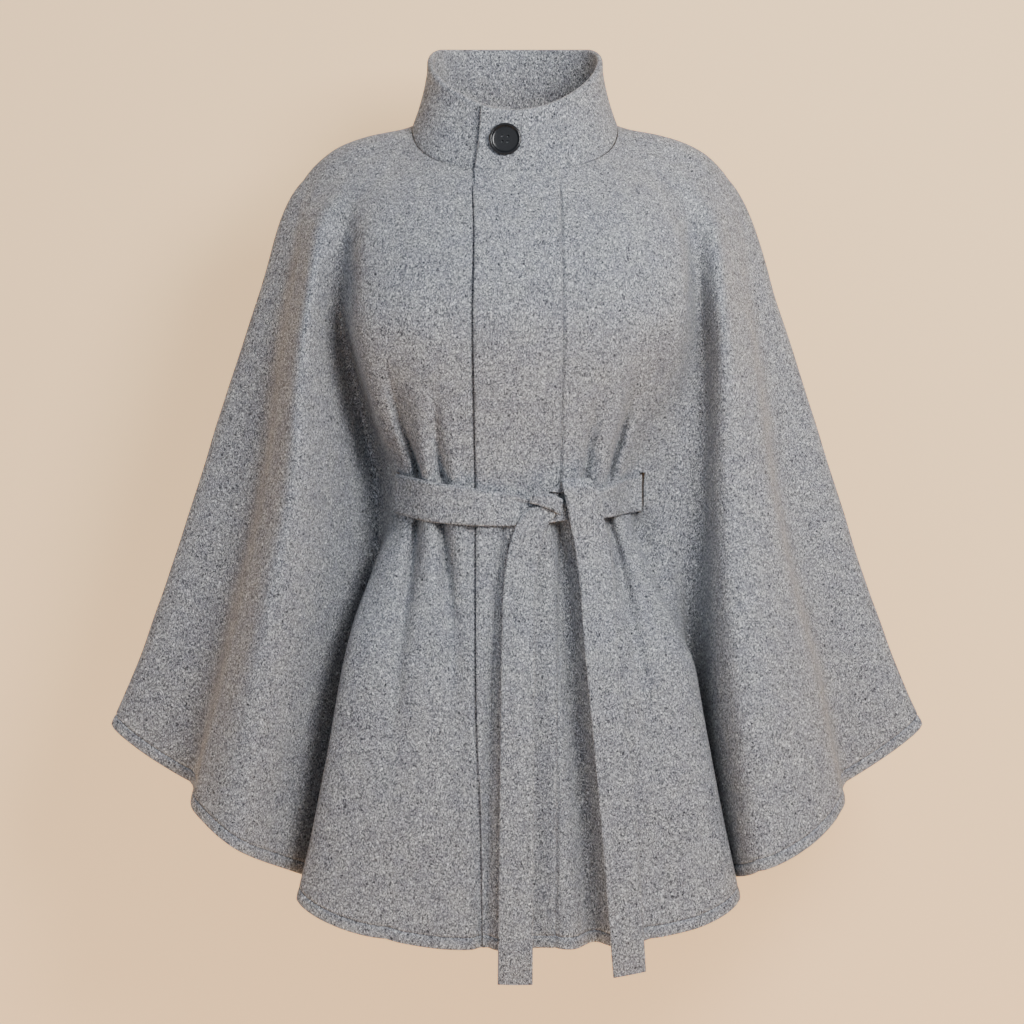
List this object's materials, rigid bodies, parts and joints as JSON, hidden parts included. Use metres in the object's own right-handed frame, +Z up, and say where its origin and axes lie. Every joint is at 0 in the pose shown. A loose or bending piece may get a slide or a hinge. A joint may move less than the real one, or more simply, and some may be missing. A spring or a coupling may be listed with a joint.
{
  "type": "wool poncho",
  "caption": "Grey wool cape-poncho in its worn shape, hollow, with a stand collar closed by a button, a front placket and a tied belt.",
  "frame": {"origin": "middle of the neck opening at the height of the shoulders, where the wearer's shoulders hold the garment", "axes": "+Z up; the front faces -Y; +X towards the viewer's right as the front is looked at, the wearer's left"},
  "size_m": [0.8198, 0.3689, 0.8954],
  "materials": {
    "wool": "felted heathered wool coating, matte",
    "belt_wool": "felted heathered wool coating, matte, doubled",
    "button": "polished black"
  },
  "bodies": {
    "root": {"front_left": "wool", "front_right": "wool", "back": "wool", "placket": "wool", "collar": "wool", "belt": "belt_wool", "belt_knot": "belt_wool", "belt_tail_left": "belt_wool", "belt_tail_right": "belt_wool", "button": "button"}
  },
  "joints": []
}
